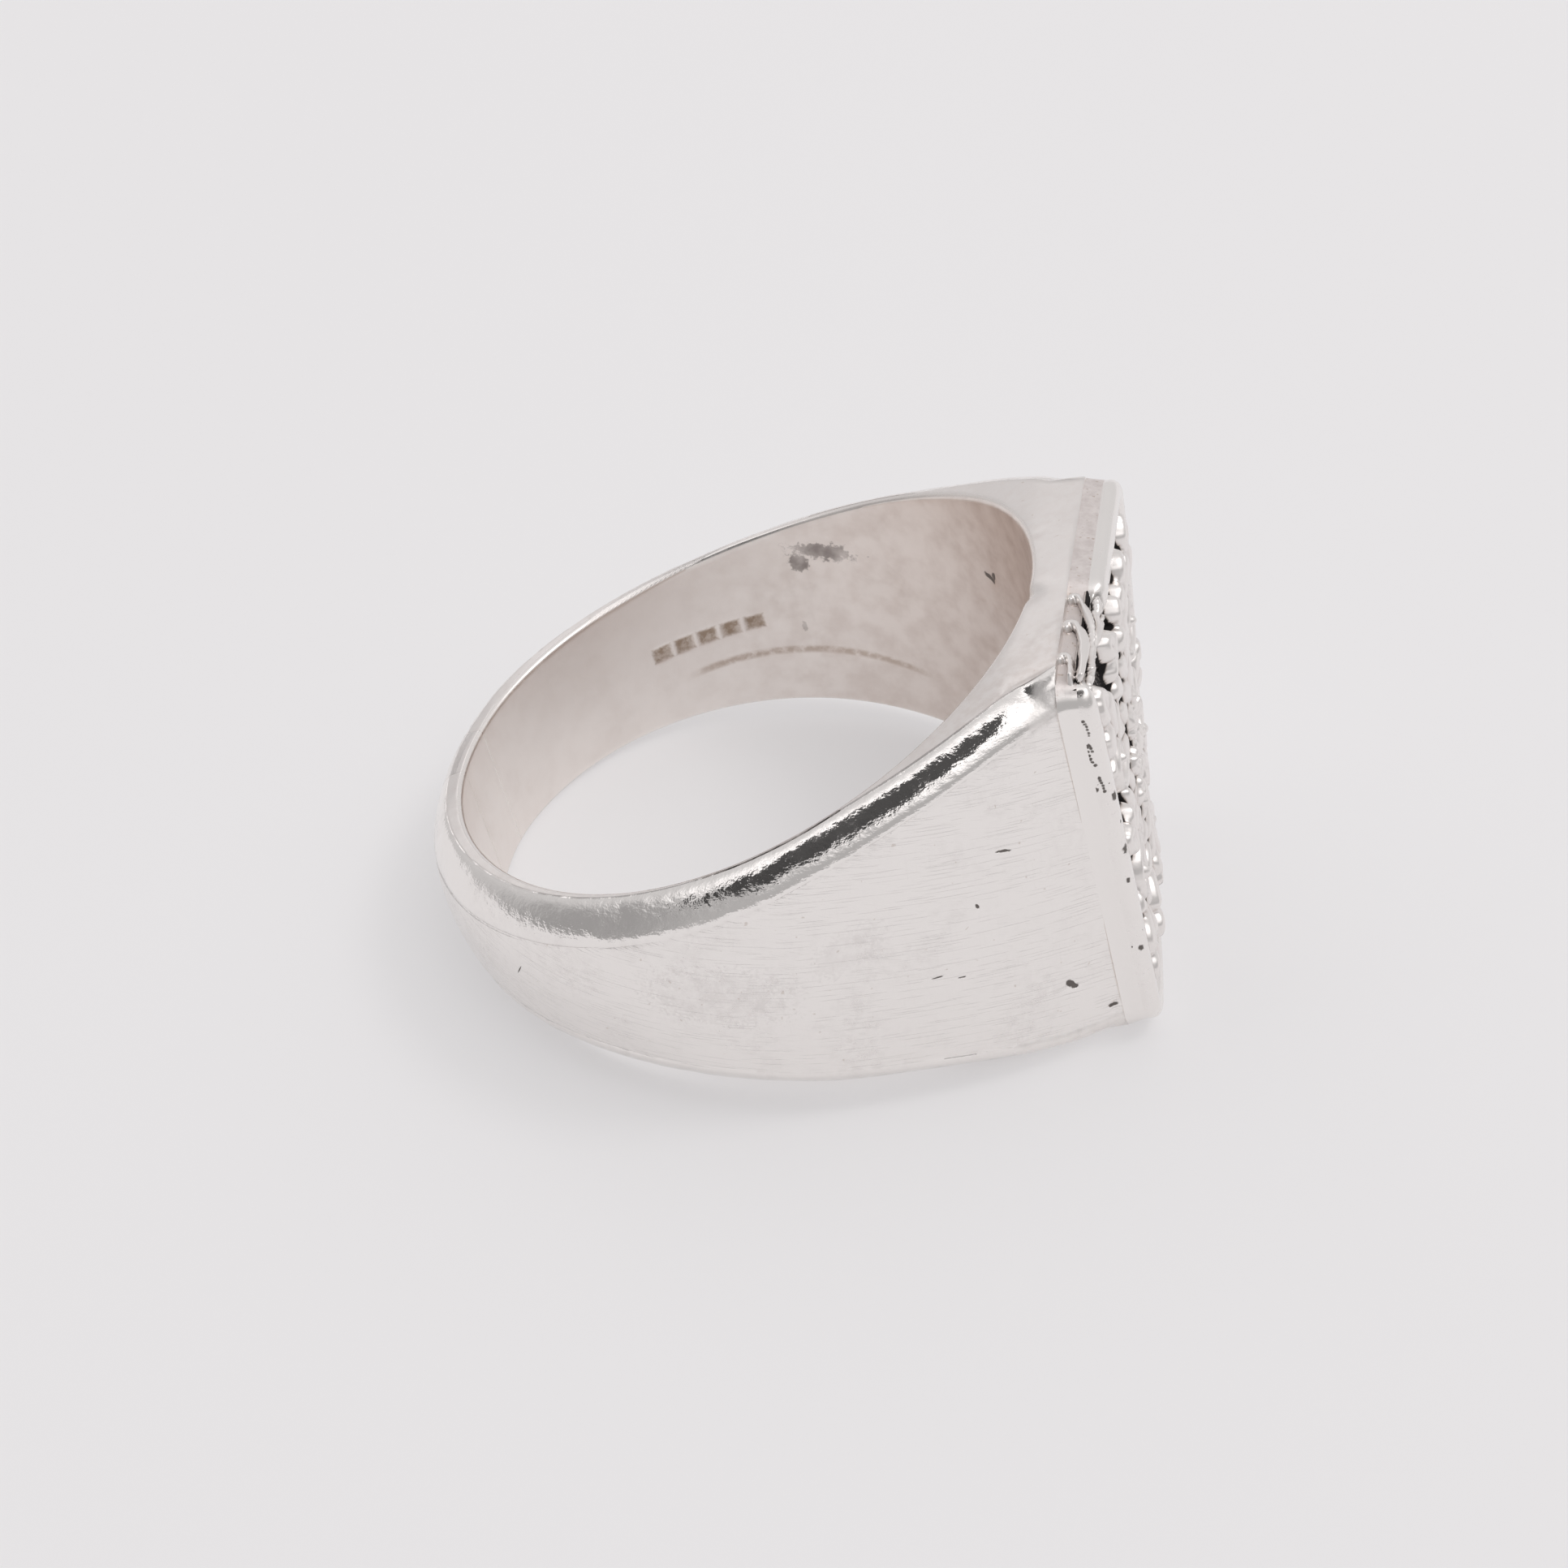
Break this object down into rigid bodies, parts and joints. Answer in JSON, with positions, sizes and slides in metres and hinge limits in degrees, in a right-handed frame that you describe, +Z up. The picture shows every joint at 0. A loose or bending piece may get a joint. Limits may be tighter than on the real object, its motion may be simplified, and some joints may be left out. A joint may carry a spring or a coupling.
{
  "type": "signet ring",
  "caption": "Worn silver signet ring with tapering shoulders, a sized band and a rectangular face plaque carrying a foliage relief inside a plain border.",
  "frame": {"origin": "on the surface that the ring lies on, under the middle of its bounding box", "axes": "+Z up, with the ring lying on its lower side; +X from the back of the band towards the head and its face; +Y across the ring"},
  "size_m": [0.0244, 0.0224, 0.0134],
  "materials": {
    "worn_silver": "polished",
    "cast_silver": "gloss",
    "darkened_silver": "satin",
    "silver_solder": "satin"
  },
  "bodies": {
    "root": {"head_casting": "worn_silver", "sizing_piece": "worn_silver", "seam_solder_far": "silver_solder", "seam_solder_near": "silver_solder", "plaque_solder": "silver_solder", "face_plaque": "cast_silver", "foliage_relief": "darkened_silver"}
  },
  "joints": []
}
